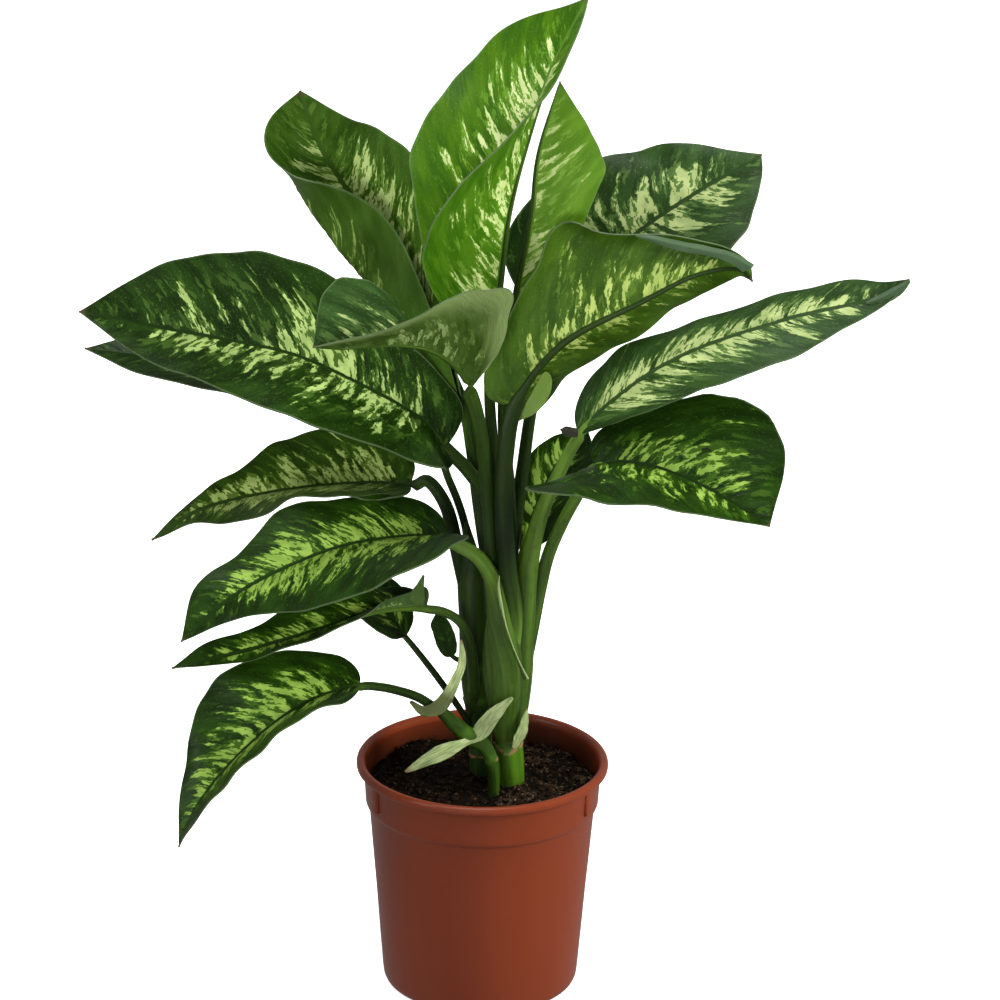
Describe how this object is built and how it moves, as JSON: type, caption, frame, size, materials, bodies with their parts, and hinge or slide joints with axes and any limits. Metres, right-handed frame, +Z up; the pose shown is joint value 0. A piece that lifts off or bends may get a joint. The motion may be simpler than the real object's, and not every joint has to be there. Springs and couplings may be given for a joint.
{
  "type": "potted dieffenbachia",
  "caption": "Potted dieffenbachia: green canes with large variegated leaves on sheathed stalks, in a tapering plastic nursery pot with a rolled rim.",
  "frame": {"origin": "centre of the pot's underside, on the surface that it stands on", "axes": "+Z up along the pot's axis, +X to the right and +Y to the back as the plant is seen in the picture"},
  "size_m": [0.5993, 0.2393, 0.7587],
  "materials": {
    "pot_plastic": "satin injection-moulded plastic, brown terracotta colour",
    "potting_mix": "loose fibrous peat and bark, matt",
    "cane": "smooth waxy green stem with leaf scars",
    "young_leaf": "satin leaf, light green with cream patches along the veins",
    "leaf": "satin leaf, dark green with yellow-green feathered patches along the veins",
    "withered_leaf": "dry, papery, yellow-green to brown"
  },
  "bodies": {
    "root": {"cane_main": "cane", "cane_left": "cane", "side_shoot": "cane", "spent_sheath_right": "cane", "leaf_top_folded": "young_leaf", "leaf_upper_upright": "young_leaf", "leaf_upper_right_back": "leaf", "leaf_upper_right_front": "leaf", "leaf_centre_curled": "leaf", "leaf_upper_left": "leaf", "leaf_left_large": "leaf", "leaf_left_behind": "leaf", "leaf_left_second": "leaf", "leaf_left_third": "leaf", "leaf_left_twisted": "leaf", "leaf_left_small": "leaf", "leaf_left_hanging": "leaf", "leaf_right_long": "leaf", "leaf_right_oval": "leaf", "leaf_right_behind": "leaf", "leaf_left_bud": "leaf", "withered_leaf_front": "withered_leaf", "withered_sheath_left": "withered_leaf", "withered_scrap": "withered_leaf", "pot": "pot_plastic", "soil": "potting_mix"}
  },
  "joints": []
}
